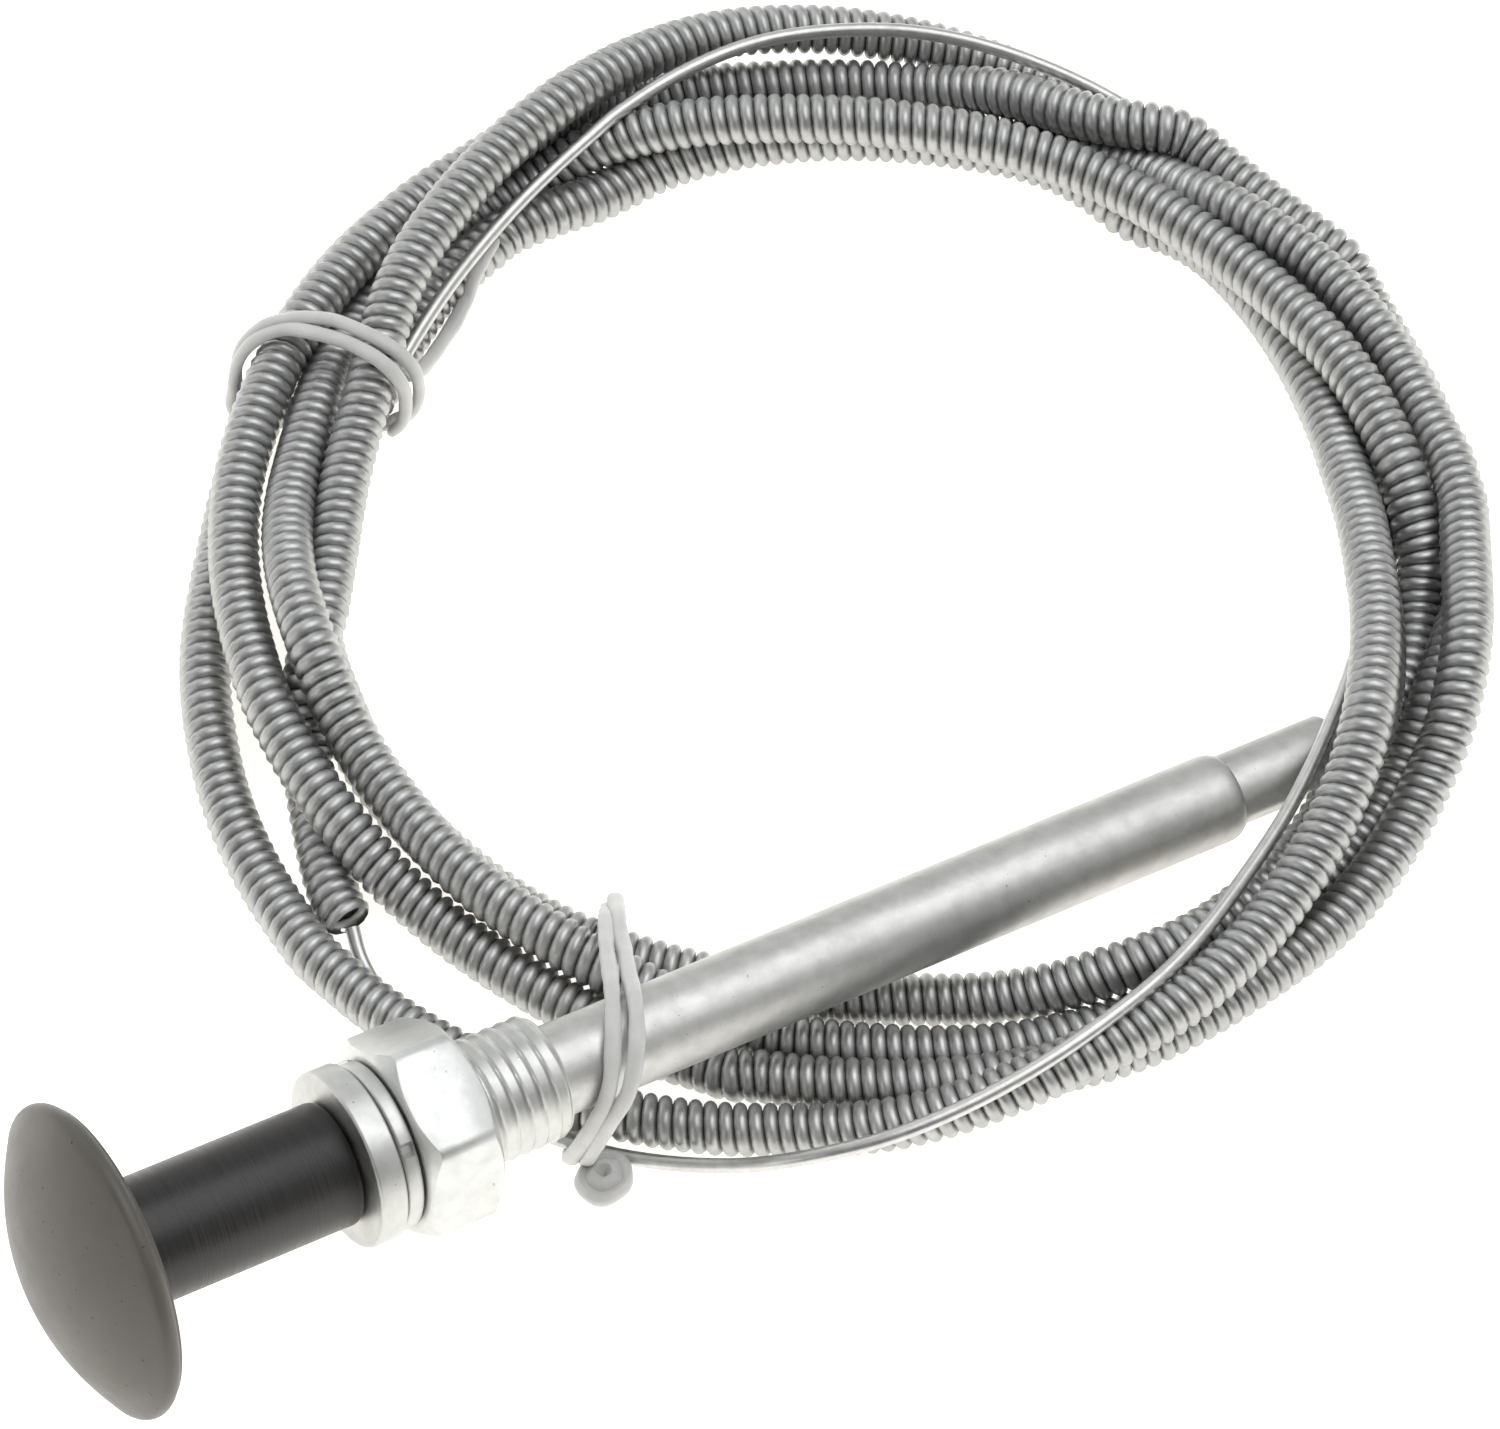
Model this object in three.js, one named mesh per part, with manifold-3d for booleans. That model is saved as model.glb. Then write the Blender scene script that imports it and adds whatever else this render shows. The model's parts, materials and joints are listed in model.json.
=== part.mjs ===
// Push-pull control cable with a mushroom knob, laid down as it is stored: the steel guide tube of
// the control lies across a tied coil of its own spiral-wound conduit.
// Millimetres, +Z up. The origin is on the table, below the middle of the control.
import * as THREE from 'three';
import { mergeVertices } from 'three/addons/utils/BufferGeometryUtils.js';
import Module from 'manifold-3d';

const wasm = await Module();
wasm.setup();

// ---------------------------------------------------------------- driving dimensions
const FIT = 0.3;                    // gap kept between neighbouring pieces
const TILT = THREE.MathUtils.degToRad(8);   // the control rises towards the knob

// Stations along the control's axis, counted from the plane of the knob's rim.
const KNOB_RADIUS = 21.8;
const DOME_HEIGHT = 9.1;
const STEM_RADIUS = 8.6;
const ROD_RADIUS = 3.2;
const TRAVEL = 76;                  // how far the knob pulls out
const FLANGE_FRONT = 35.2;
const FLANGE_REAR = 39.2;
const FLANGE_RADIUS = 12.3;
const THREAD_RADIUS = 8.9;
const THREAD_PITCH = 2.1;
const THREAD_DEPTH = 0.75;
const BARREL_END = 66.7;
const MOUTH_RADIUS = 6.6;           // countersunk mouth round the pull rod
const GUIDE_BORE = 5.2;             // bore that holds the guide bush and the friction ring
const GUIDE_FRONT = 36.5;
const GUIDE_REAR = 49.4;
const WASHER_FRONT = 39.5;
const WASHER_REAR = 41.9;
const WASHER_RADIUS = 11.8;
const NUT_FRONT = 42.2;
const NUT_REAR = 53.6;
const NUT_FLATS = 25.8;             // across flats
const NUT_TURN = THREE.MathUtils.degToRad(9);
const TUBE_RADIUS = 6.35;           // half-inch tube
const TUBE_WALL = 0.85;
const TUBE_FRONT = 50;
const NECK_START = 174.5;           // the tube is swaged down onto the conduit from here
const NECK_RADIUS = 5.6;
const TUBE_END = 195;
const ROD_END = 149;
const COLLAR_LENGTH = 5;
const STOP_SLEEVE_LENGTH = 8;
const STOP_SLEEVE_REAR = BARREL_END - 5;
const COLLAR_FRONT = STOP_SLEEVE_REAR + FIT + TRAVEL;

const CONDUIT_RADIUS = 3.65;
const WIRE_RADIUS = 1.05;
const WIRE_BORE = WIRE_RADIUS + 0.6;    // the wire runs loose in the conduit

// The tied coil.
const COIL_CENTRE = new THREE.Vector3(59, 63.9, 0);
const COIL_INNER = 71.5;
const COIL_OUTER = 97.5;
const COIL_HEIGHT = 13;
const TIE_RADIUS = 1.3;
const TIE_PITCH = 3.1;              // from one turn of a tie to its next
const TIE_FLOOR = TIE_RADIUS + 0.3; // height of a tie's middle where it passes below the coil
const KNOT_RADIUS = 2.9;

const ROUND = 32;                   // segments round a large turned piece
const FINE = 24;                    // and round a small one

// The neck's end lies on the table.
const KNOB_CENTRE_Z = NECK_RADIUS * Math.cos(TILT) + (TUBE_END - 0.6) * Math.sin(TILT);
const KNOB_CENTRE_X = -92.2;

// ---------------------------------------------------------------- materials
const finish = (color, roughness, metalness) =>
  new THREE.MeshStandardMaterial({ color, roughness, metalness });
const BLACK_PLASTIC = finish(0x4b4a48, 0.45, 0);
const BLACK_STEM = finish(0x1d1c1c, 0.35, 0);
const ZINC = finish(0xc3c6c6, 0.35, 0.95);
const STEEL = finish(0xa9abad, 0.3, 1);
const CONDUIT_STEEL = finish(0x8f9193, 0.32, 1);
const BRASS = finish(0xb08d4a, 0.3, 1);
const NYLON = finish(0xe4e1d6, 0.5, 0);
const RUBBER = finish(0x202020, 0.8, 0);
const TIE_PLASTIC = finish(0xe3e2de, 0.5, 0);

// ---------------------------------------------------------------- helpers
// Merges shared vertices, drops slivers and turns the faces outwards.
function weld(geometry) {
  const bare = geometry.clone();
  bare.deleteAttribute('normal');
  bare.deleteAttribute('uv');
  const merged = mergeVertices(bare, 1e-4);
  const at = merged.attributes.position;
  const kept = [];
  let volume = 0;
  const [a, b, c] = [new THREE.Vector3(), new THREE.Vector3(), new THREE.Vector3()];
  for (let i = 0; i < merged.index.count; i += 3) {
    const [ia, ib, ic] = [0, 1, 2].map((k) => merged.index.getX(i + k));
    if (ia === ib || ib === ic || ic === ia) continue;
    kept.push(ia, ib, ic);
    a.fromBufferAttribute(at, ia);
    b.fromBufferAttribute(at, ib);
    c.fromBufferAttribute(at, ic);
    volume += a.dot(b.cross(c));
  }
  if (volume < 0) kept.reverse();
  merged.setIndex(kept);
  return merged;
}

function toManifold(geometry) {
  const welded = weld(geometry);
  return new wasm.Manifold(new wasm.Mesh({
    numProp: 3,
    vertProperties: Float32Array.from(welded.attributes.position.array),
    triVerts: Uint32Array.from(welded.index.array),
  }));
}

function fromManifold(manifold) {
  const { vertProperties, triVerts } = manifold.getMesh();
  const geometry = new THREE.BufferGeometry();
  geometry.setAttribute('position', new THREE.BufferAttribute(vertProperties, 3));
  geometry.setIndex(new THREE.BufferAttribute(triVerts, 1));
  return geometry;
}

const cut = (geometry, ...tools) =>
  fromManifold(tools.reduce((body, tool) => body.subtract(toManifold(tool)), toManifold(geometry)));
const join = (geometry, ...others) =>
  fromManifold(others.reduce((body, other) => body.add(toManifold(other)), toManifold(geometry)));
const common = (geometry, other) =>
  fromManifold(toManifold(geometry).intersect(toManifold(other)));

// A piece turned about the control's axis, from [station, radius] pairs.
function turned(profile, segments = ROUND) {
  const points = profile.map(([station, radius]) => new THREE.Vector2(radius, station));
  return weld(new THREE.LatheGeometry(points, segments).rotateZ(-Math.PI / 2));
}

// A turned ring or tube with square ends.
function sleeve(front, rear, inner, outer, segments = ROUND) {
  return turned([[front, inner], [front, outer], [rear, outer], [rear, inner], [front, inner]],
    segments);
}

const rod = (front, rear, radius, segments = ROUND) =>
  turned([[front, 0], [front, radius], [rear, radius], [rear, 0]], segments);

// A round bar swept along a smooth curve through the given points.
function bar(points, radius, steps, sides) {
  const section = new THREE.Shape();
  section.absarc(0, 0, radius, 0, 2 * Math.PI);
  return weld(new THREE.ExtrudeGeometry(section, {
    steps,
    curveSegments: sides / 2,
    extrudePath: new THREE.CatmullRomCurve3(points, false, 'centripetal'),
  }));
}

// A point given by its bearing round the coil in degrees, its distance from the centre, and height.
function onCoil([bearing, distance, height]) {
  const angle = THREE.MathUtils.degToRad(bearing);
  return new THREE.Vector3(
    COIL_CENTRE.x + distance * Math.cos(angle),
    COIL_CENTRE.y + distance * Math.sin(angle),
    height,
  );
}

const part = new THREE.Group();
const control = new THREE.Group();
control.position.set(KNOB_CENTRE_X, 0, KNOB_CENTRE_Z);
control.rotation.y = TILT;
part.add(control);

function piece(parent, name, geometry, material) {
  const mesh = new THREE.Mesh(geometry, material);
  mesh.name = name;
  parent.add(mesh);
  return mesh;
}

// ---------------------------------------------------------------- knob, rod and wire: they slide
// Mushroom cap: a shallow dome, a rounded rim and a socket for the stem's spigot.
function knobCap() {
  const dome = [];
  const rimStart = 20.6;
  for (let i = 0; i <= 9; i++) {
    const r = rimStart * i / 9;
    dome.push([-DOME_HEIGHT + 6.6 * (r / rimStart) ** 2.2, r]);
  }
  return turned([
    ...dome,
    [-1.6, 21.4], [-0.6, KNOB_RADIUS], [0.4, 21.6], [1.0, 20.9],
    [0.9, 14], [1.0, 9.4], [1.0, 6.3], [-4.6, 6.3], [-4.6, 0],
  ], 32);
}

function knobStem() {
  return turned([
    [-4.3, 3.5], [-4.3, 6], [1.3, 6], [1.3, STEM_RADIUS + 0.05],
    [FLANGE_FRONT - 0.8, STEM_RADIUS], [FLANGE_FRONT - FIT, STEM_RADIUS - 0.5],
    [FLANGE_FRONT - FIT, ROD_RADIUS + FIT], [16.3, ROD_RADIUS + FIT], [16.3, 5.3], [1.5, 5.3],
    [1.5, 3.5], [-4.3, 3.5],
  ]);
}

piece(control, 'knob_cap', knobCap(), BLACK_PLASTIC);
piece(control, 'knob_stem', knobStem(), BLACK_STEM);
piece(control, 'stem_insert', sleeve(1.8, 16, ROD_RADIUS + FIT, 5, FINE), BRASS);

// The rod's far end is drilled for the wire.
function pullRod() {
  const socket = WIRE_RADIUS + FIT;
  const depth = 12;
  return turned([
    [2, 0], [2, ROD_RADIUS - 0.4], [2.4, ROD_RADIUS], [ROD_END - 0.5, ROD_RADIUS],
    [ROD_END, ROD_RADIUS - 0.5], [ROD_END, socket], [ROD_END - depth, socket], [ROD_END - depth, 0],
  ], FINE);
}
piece(control, 'pull_rod', pullRod(), STEEL);

// A ring that fits round the rod, inside the guide tube.
const ringOnRod = (front, length) =>
  sleeve(front, front + length, ROD_RADIUS + FIT, TUBE_RADIUS - TUBE_WALL - FIT, FINE);
piece(control, 'stop_collar', ringOnRod(COLLAR_FRONT, COLLAR_LENGTH), STEEL);
piece(control, 'wire_ferrule', sleeve(ROD_END + FIT, ROD_END + 8, WIRE_RADIUS + FIT, 2.6, 20), BRASS);
piece(control, 'control_wire', rod(ROD_END - 11.5, TUBE_END - 1, WIRE_RADIUS, 12), STEEL);

// ---------------------------------------------------------------- bushing, nut and washer
// Flanged bushing: a countersunk mouth, a threaded barrel and stepped bores for guide and tube.
function bushing() {
  const thread = [];
  const root = THREAD_RADIUS - THREAD_DEPTH;
  const clearOfWasher = WASHER_RADIUS / Math.cos(Math.PI / FINE) + 0.05;
  for (let s = FLANGE_REAR + 1; s + THREAD_PITCH < BARREL_END - 1; s += THREAD_PITCH) {
    thread.push([s, root], [s + 0.4 * THREAD_PITCH, THREAD_RADIUS],
      [s + 0.6 * THREAD_PITCH, THREAD_RADIUS]);
  }
  return turned([
    [FLANGE_FRONT, MOUTH_RADIUS], [FLANGE_FRONT, FLANGE_RADIUS - 0.3],
    [FLANGE_FRONT + 0.3, FLANGE_RADIUS],
    // The rear face has a narrow ring of its own outside the lock washer.
    [FLANGE_REAR, FLANGE_RADIUS], [FLANGE_REAR, clearOfWasher], [FLANGE_REAR, root],
    ...thread,
    [BARREL_END - 1, root], [BARREL_END - 0.9, THREAD_RADIUS - 0.35], [BARREL_END, root - 0.2],
    [BARREL_END, TUBE_RADIUS + FIT], [GUIDE_REAR + FIT, TUBE_RADIUS + FIT],
    [GUIDE_REAR + FIT, GUIDE_BORE], [GUIDE_FRONT, GUIDE_BORE], [FLANGE_FRONT, MOUTH_RADIUS],
  ], FINE);
}
piece(control, 'bushing', bushing(), ZINC);
piece(control, 'guide_bush', sleeve(GUIDE_FRONT + FIT, 45, ROD_RADIUS + FIT, GUIDE_BORE - FIT, FINE),
  NYLON);
piece(control, 'friction_ring', turned([
  [45.4, 3.9], [45.4, 4.7], [45.8, 4.9], [48.6, 4.9], [49, 4.7], [49, 3.9], [48.2, 3.5],
  [46.2, 3.5], [45.4, 3.9],
], FINE), RUBBER);
piece(control, 'stop_sleeve', ringOnRod(STOP_SLEEVE_REAR - STOP_SLEEVE_LENGTH, STOP_SLEEVE_LENGTH),
  STEEL);

// Lock washer: a flat ring with four slots across its rim.
function lockWasher() {
  const ring = sleeve(WASHER_FRONT, WASHER_REAR, THREAD_RADIUS + FIT, WASHER_RADIUS);
  const slots = [0, 1, 2, 3].map((k) => {
    const slot = new THREE.BoxGeometry(1.2, 1.3, 1.6);
    slot.rotateX(0.5);
    slot.translate((WASHER_FRONT + WASHER_REAR) / 2, 0, WASHER_RADIUS);
    return slot.rotateX(k * Math.PI / 2 + 0.25);
  });
  return cut(ring, ...slots);
}
piece(control, 'lock_washer', lockWasher(), ZINC);

// Hex nut: a hexagonal prism trimmed by a chamfering cone at both ends.
function hexNut() {
  const corner = NUT_FLATS / Math.sqrt(3);
  const length = NUT_REAR - NUT_FRONT;
  const prism = new THREE.CylinderGeometry(corner, corner, length, 6);
  prism.rotateZ(-Math.PI / 2);
  prism.rotateX(NUT_TURN);
  prism.translate((NUT_FRONT + NUT_REAR) / 2, 0, 0);
  const face = NUT_FLATS / 2 - 0.4;   // the flat end's radius
  const slope = 1.9;                  // how far the chamfer reaches along the corners
  const chamfer = turned([
    [NUT_FRONT - 1, 0], [NUT_FRONT - 1, face - slope], [NUT_FRONT + slope, corner + 1.5],
    [NUT_REAR - slope, corner + 1.5], [NUT_REAR + 1, face - slope], [NUT_REAR + 1, 0],
  ], 48);
  return cut(common(prism, chamfer), rod(NUT_FRONT - 1, NUT_REAR + 1, THREAD_RADIUS + FIT));
}
piece(control, 'hex_nut', hexNut(), ZINC);

// ---------------------------------------------------------------- guide tube and conduit entry
const NECK_BORE = CONDUIT_RADIUS + FIT;
function guideTube() {
  const bore = TUBE_RADIUS - TUBE_WALL;
  const shell = turned([
    [TUBE_FRONT, bore], [TUBE_FRONT, TUBE_RADIUS], [NECK_START, TUBE_RADIUS],
    [NECK_START + 1.5, TUBE_RADIUS - 0.3], [NECK_START + 3, NECK_RADIUS],
    [TUBE_END - 0.6, NECK_RADIUS], [TUBE_END, NECK_RADIUS - 0.6], [TUBE_END, NECK_BORE],
    [NECK_START + 3.2, NECK_BORE], [NECK_START - 0.5, bore], [TUBE_FRONT, bore],
  ]);
  const fins = [70, 250].map((bearing) => {
    const fin = new THREE.BoxGeometry(TUBE_END - NECK_START - 7, 0.7, 2);
    fin.translate((NECK_START + TUBE_END) / 2 + 1, 0, NECK_RADIUS - 0.6);
    return fin.rotateX(THREE.MathUtils.degToRad(bearing));
  });
  return join(shell, ...fins);
}
piece(control, 'guide_tube', guideTube(), ZINC);
piece(control, 'conduit_stop', sleeve(NECK_START - 3.4, NECK_START - 1, WIRE_BORE,
  TUBE_RADIUS - TUBE_WALL - FIT, FINE), STEEL);
piece(control, 'conduit_entry', sleeve(NECK_START - 0.6, TUBE_END - FIT, WIRE_BORE,
  CONDUIT_RADIUS, 20), CONDUIT_STEEL);

// ---------------------------------------------------------------- ties
// Each tie is a soft round cord wound twice round the bundle. A turn is given in its own upright
// plane, by distance along the plane and height, and each turn steps on along the normal.
function woundTie(start, bearing, turn, tail = []) {
  const along = onCoil([bearing, 1, 0]).sub(COIL_CENTRE);
  const step = new THREE.Vector3(-along.y, along.x, 0);
  const place = ([u, height, w]) =>
    start.clone().addScaledVector(along, u).addScaledVector(step, w).setZ(height);
  const wound = [...turn, ...turn].map(([u, height], i) => [u, height, TIE_PITCH * i / turn.length]);
  return [...wound, ...tail].map(place);
}

const LEFT_TIE = woundTie(
  onCoil([124, 69, 0]), 124,
  [[0, 3.4], [-0.6, 9], [3, 15.2], [10, 17], [20, 16.4], [28, 13.6], [30.4, 8], [29, 3],
    [22, TIE_FLOOR], [12, TIE_FLOOR], [3.5, TIE_FLOOR]],
  [[-2, 2.8, 2 * TIE_PITCH + 0.3]],
);
const RIGHT_TIE = woundTie(
  onCoil([214.6, 67.3, 0]), 232.2,
  [[0, 3.4], [-1, 8], [2, 14.6], [12, 21.5], [24, 28.6], [34, 31], [41.5, 29], [44.2, 22],
    [43, 12], [39.6, 4.2], [33, TIE_FLOOR], [20, TIE_FLOOR], [5, TIE_FLOOR]],
);
const TIE_STEPS = 48;
const TIE_SIDES = 8;
piece(part, 'left_tie', bar(LEFT_TIE, TIE_RADIUS, TIE_STEPS, TIE_SIDES), TIE_PLASTIC);
piece(part, 'right_tie', bar(RIGHT_TIE, TIE_RADIUS, TIE_STEPS, TIE_SIDES), TIE_PLASTIC);

// The free tail of the left tie runs back under the coil's inner side.
const LEFT_TAIL = [
  [126.5, 66.3, 2.4], [122, 65.8, 1.8], [116, 66, TIE_FLOOR], [110, 67.6, TIE_FLOOR],
  [104.5, 69.6, TIE_FLOOR],
].map(onCoil);
piece(part, 'left_tie_tail', bar(LEFT_TAIL, TIE_RADIUS, 10, TIE_SIDES), TIE_PLASTIC);

// The right tie ends in a round knot beside the bundle.
function tieKnot() {
  const flatness = 0.7;
  const at = onCoil([221.4, 111, KNOT_RADIUS * flatness + FIT]);
  const knot = new THREE.SphereGeometry(KNOT_RADIUS, 16, 10);
  knot.scale(1, 1, flatness);
  knot.translate(at.x, at.y, at.z);
  return weld(knot);
}
piece(part, 'right_tie_knot', tieKnot(), TIE_PLASTIC);

// ---------------------------------------------------------------- coiled conduit and bare wire
// The coil's outer shape, with room for the control lying in it and for the ties round it.
function coil() {
  const corner = 2.5;
  const section = [
    [COIL_INNER + corner, 0], [COIL_OUTER - corner, 0], [COIL_OUTER, corner],
    [COIL_OUTER, COIL_HEIGHT - corner], [COIL_OUTER - corner, COIL_HEIGHT],
    [COIL_INNER + corner, COIL_HEIGHT], [COIL_INNER, COIL_HEIGHT - corner], [COIL_INNER, corner],
    [COIL_INNER + corner, 0],
  ].map(([r, z]) => new THREE.Vector2(r, z));
  const ring = new THREE.LatheGeometry(section, 48).rotateX(Math.PI / 2);
  ring.translate(COIL_CENTRE.x, COIL_CENTRE.y, 0);
  control.updateMatrixWorld(true);
  const finHeight = 1.6;
  const bed = join(
    rod(BARREL_END, NECK_START + 3, TUBE_RADIUS + FIT, FINE),
    rod(NECK_START, TUBE_END + FIT, NECK_RADIUS + finHeight + FIT, FINE),
  ).applyMatrix4(control.matrixWorld);
  const grooves = [LEFT_TIE, RIGHT_TIE, LEFT_TAIL].map((path) =>
    bar(path, TIE_RADIUS + FIT + 0.1, TIE_STEPS, TIE_SIDES));
  return cut(ring, bed, ...grooves);
}
piece(part, 'conduit_coil', coil(), CONDUIT_STEEL);

// The wire's bare end: under the control on the outside of the coil, then round on top of it.
const WIRE_TOP = COIL_HEIGHT + WIRE_RADIUS + 1;
const BARE_WIRE = [
  [204, 99.6, 1.4], [210, 100.2, 2], [215, 100.4, 3.2], [220, 100.6, 4.6], [226, 101.4, 6.6],
  [232, 103, 9.6], [238, 103.4, 13], [245, 101.5, WIRE_TOP], [254, 97, WIRE_TOP],
  [266, 91, WIRE_TOP], [280, 83.5, WIRE_TOP], [294, 78.5, WIRE_TOP], [308, 76.5, WIRE_TOP],
  [324, 77, WIRE_TOP], [340, 80.5, WIRE_TOP], [356, 85.5, WIRE_TOP], [372, 90.5, WIRE_TOP],
  [388, 93.2, WIRE_TOP], [402, 94, WIRE_TOP], [414, 94, WIRE_TOP], [424, 92, WIRE_TOP],
  [436, 86, WIRE_TOP], [448, 80, WIRE_TOP], [460, 75.5, WIRE_TOP], [471, 73, WIRE_TOP],
].map(onCoil);
piece(part, 'bare_wire', bar(BARE_WIRE, WIRE_RADIUS, 80, 8), STEEL);

export default part;
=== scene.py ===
"""Looks of the push-pull control cable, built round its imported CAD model. Metres, +Z up."""
import json
import math

import bpy
import numpy as np
from mathutils import Matrix, Vector


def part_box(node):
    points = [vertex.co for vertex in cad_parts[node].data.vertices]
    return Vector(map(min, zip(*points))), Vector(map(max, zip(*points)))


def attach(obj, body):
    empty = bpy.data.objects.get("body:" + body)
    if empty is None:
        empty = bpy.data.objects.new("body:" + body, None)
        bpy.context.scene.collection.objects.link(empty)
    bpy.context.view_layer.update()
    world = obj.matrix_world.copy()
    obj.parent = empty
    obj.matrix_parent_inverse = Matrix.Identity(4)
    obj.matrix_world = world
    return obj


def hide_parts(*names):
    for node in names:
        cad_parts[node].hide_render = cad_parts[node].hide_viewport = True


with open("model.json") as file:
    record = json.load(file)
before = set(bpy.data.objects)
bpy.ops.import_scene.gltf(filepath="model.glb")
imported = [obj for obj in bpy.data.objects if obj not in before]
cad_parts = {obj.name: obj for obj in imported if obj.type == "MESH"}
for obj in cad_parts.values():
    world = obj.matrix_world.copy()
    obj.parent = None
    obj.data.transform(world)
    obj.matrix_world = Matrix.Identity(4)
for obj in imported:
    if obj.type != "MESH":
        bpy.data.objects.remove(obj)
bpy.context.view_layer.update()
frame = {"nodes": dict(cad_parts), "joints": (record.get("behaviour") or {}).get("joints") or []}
MM = 0.001


# ---------------------------------------------------------------- places taken from the frame
def joint(name):
    return next(j for j in frame["joints"] if j["name"] == name)


# The control's axis, from the knob towards the tube's end, and stations along it in millimetres
# from the plane of the knob's rim. The nut's hinge sits at the middle of the nut.
NUT_STATION = 47.9
AXIS = -Vector(joint("knob_pull")["axis"]).normalized()
KNOB = Vector(joint("nut_turn")["pos_m"]) - AXIS * NUT_STATION * MM
CONTROL = Matrix.Translation(KNOB) @ AXIS.to_track_quat("X", "Z").to_matrix().to_4x4()

coil_low, coil_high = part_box("conduit_coil")
COIL_CENTRE = np.array([(coil_low.x + coil_high.x) / 2, (coil_low.y + coil_high.y) / 2, 0]) / MM

# Sizes in millimetres, as in the CAD model.
DOME_HEIGHT = 9.1
STEM_RADIUS, ROD_RADIUS = 8.6, 3.2
FLANGE_FRONT, FLANGE_REAR, FLANGE_RADIUS = 35.2, 39.2, 12.3
THREAD_RADIUS, THREAD_PITCH, BARREL_END = 8.9, 2.1, 66.7
WASHER_FRONT, WASHER_REAR, WASHER_RADIUS = 39.5, 41.9, 11.8
NUT_FRONT, NUT_REAR, NUT_FLATS = 42.2, 53.6, 25.8
TUBE_RADIUS, TUBE_FRONT, NECK_START = 6.35, 50.0, 174.5
NECK_RADIUS, TUBE_END = 5.6, 195.0
CONDUIT_RADIUS, CONDUIT_PITCH = 3.65, 2.1
WIRE_RADIUS, TIE_RADIUS = 1.05, 1.12


# ---------------------------------------------------------------- camera, light and floor
def add_camera():
    """A long lens, from the control's knob end and well above it."""
    azimuth, elevation, distance = math.radians(-31.25), math.radians(54), 1.041
    aim = Vector((0.0390, 0.0543, -0.0055))
    level = Vector((-math.sin(azimuth), math.cos(azimuth), 0)) * math.cos(elevation)
    forward = level - Vector((0, 0, math.sin(elevation)))
    data = bpy.data.cameras.new("camera")
    data.lens, data.sensor_width = 175.5, 36
    camera = bpy.data.objects.new("camera", data)
    camera.location = aim - forward * distance
    camera.rotation_euler = forward.to_track_quat("-Z", "Y").to_euler()
    bpy.context.scene.collection.objects.link(camera)
    bpy.context.scene.camera = camera
    return camera


camera = add_camera()
SIGHT = np.array(camera.location) / MM


def add_light(name, towards, distance, size, power, colour=(1, 1, 1)):
    """A soft square light, seen from the middle of the object in the direction towards."""
    aim = Vector((0.04, 0.05, 0))
    direction = Vector(towards).normalized()
    data = bpy.data.lights.new(name, "AREA")
    data.shape, data.size, data.energy, data.color = "RECTANGLE", size[0], power, colour
    data.size_y = size[1]
    light = bpy.data.objects.new(name, data)
    light.location = aim + direction * distance
    light.rotation_euler = (-direction).to_track_quat("-Z", "Y").to_euler()
    bpy.context.scene.collection.objects.link(light)


add_light("overhead", (0.30, -0.14, 0.94), 1.7, (1.7, 1.4), 13)
add_light("back", (-0.2, 0.9, 0.6), 2.0, (2.4, 1.2), 6)
add_light("left", (-0.95, -0.1, 0.42), 1.9, (1.3, 0.9), 4, (1.0, 0.985, 0.96))


def add_world():
    """A pale room, darker low down in front."""
    world = bpy.data.worlds.new("studio")
    world.use_nodes = True
    tree = world.node_tree
    place = tree.nodes.new("ShaderNodeTexCoord")
    facing = tree.nodes.new("ShaderNodeVectorMath")
    facing.operation = "DOT_PRODUCT"
    facing.inputs[1].default_value = (-0.50, -0.80, 0.33)
    ramp = tree.nodes.new("ShaderNodeValToRGB")
    stops = ramp.color_ramp.elements
    stops[0].position, stops[0].color = 0.25, (0.60, 0.61, 0.61, 1)
    stops[1].position, stops[1].color = 0.88, (0.20, 0.20, 0.20, 1)
    tree.links.new(place.outputs["Generated"], facing.inputs[0])
    tree.links.new(facing.outputs["Value"], ramp.inputs["Fac"])
    tree.links.new(ramp.outputs["Color"], tree.nodes["Background"].inputs["Color"])
    tree.nodes["Background"].inputs["Strength"].default_value = 0.95
    bpy.context.scene.world = world


add_world()
bpy.context.scene.view_settings.view_transform = "Standard"


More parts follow.
